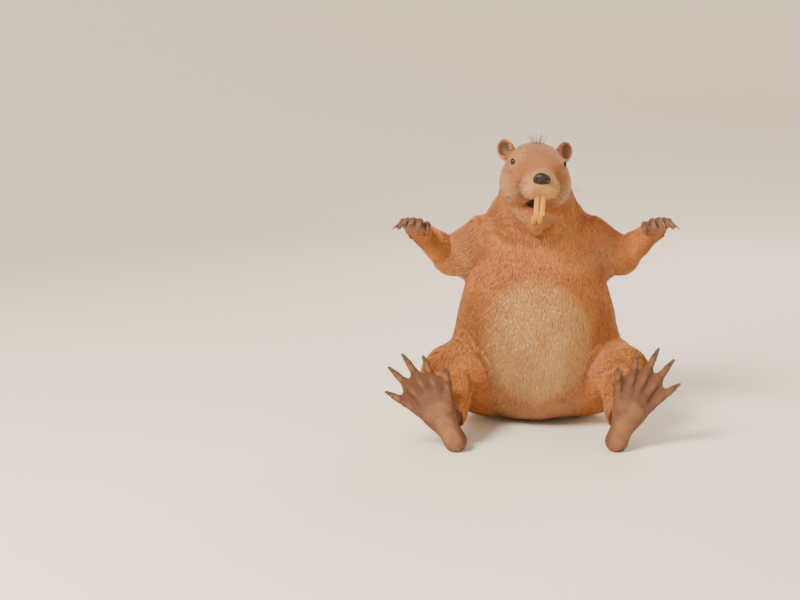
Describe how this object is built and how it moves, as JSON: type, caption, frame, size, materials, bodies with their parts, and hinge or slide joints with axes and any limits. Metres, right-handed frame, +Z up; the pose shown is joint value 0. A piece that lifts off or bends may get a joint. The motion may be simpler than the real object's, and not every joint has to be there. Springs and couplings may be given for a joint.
{
  "type": "beaver",
  "caption": "Life-size beaver model sitting upright on its rump, hind feet forward, front paws raised to each side, mouth open on its incisors.",
  "frame": {"origin": "middle of the flat on which the rump rests, on the floor", "axes": "+Z up; the beaver faces -Y, so its left side is towards +X and its tail lies along +Y"},
  "size_m": [0.4947, 0.6629, 0.5054],
  "materials": {
    "coat": "dense red-brown fur, golden on the face and belly",
    "bare_skin": "dark pebbled skin of the nose, paws and webbed feet, paler on the soles",
    "tail_scales": "dark grey-brown leathery scales",
    "claw": "dark horn, paler at the tips",
    "enamel": "orange enamel, smooth and slightly glossy",
    "eye": "wet, nearly black brown"
  },
  "bodies": {
    "root": {"trunk": "coat", "neck": "coat", "tail_root": "coat", "tail": "tail_scales", "head": "coat", "lower_jaw": "coat", "ear_left": "coat", "ear_right": "coat", "nose": "bare_skin", "eye_left": "eye", "incisor_upper_left": "enamel", "incisor_lower_left": "enamel", "eye_right": "eye", "incisor_upper_right": "enamel", "incisor_lower_right": "enamel", "thigh_left": "coat", "shank_left": "coat", "hind_foot_left": "bare_skin", "claw_hind_left_1": "claw", "claw_hind_left_2": "claw", "claw_hind_left_3": "claw", "claw_hind_left_4": "claw", "claw_hind_left_5": "claw", "upper_arm_left": "coat", "forearm_left": "coat", "front_paw_left": "bare_skin", "claw_front_left_1": "claw", "claw_front_left_2": "claw", "claw_front_left_3": "claw", "claw_front_left_4": "claw", "claw_front_left_5": "claw", "thigh_right": "coat", "shank_right": "coat", "hind_foot_right": "bare_skin", "claw_hind_right_1": "claw", "claw_hind_right_2": "claw", "claw_hind_right_3": "claw", "claw_hind_right_4": "claw", "claw_hind_right_5": "claw", "upper_arm_right": "coat", "forearm_right": "coat", "front_paw_right": "bare_skin", "claw_front_right_1": "claw", "claw_front_right_2": "claw", "claw_front_right_3": "claw", "claw_front_right_4": "claw", "claw_front_right_5": "claw"}
  },
  "joints": []
}
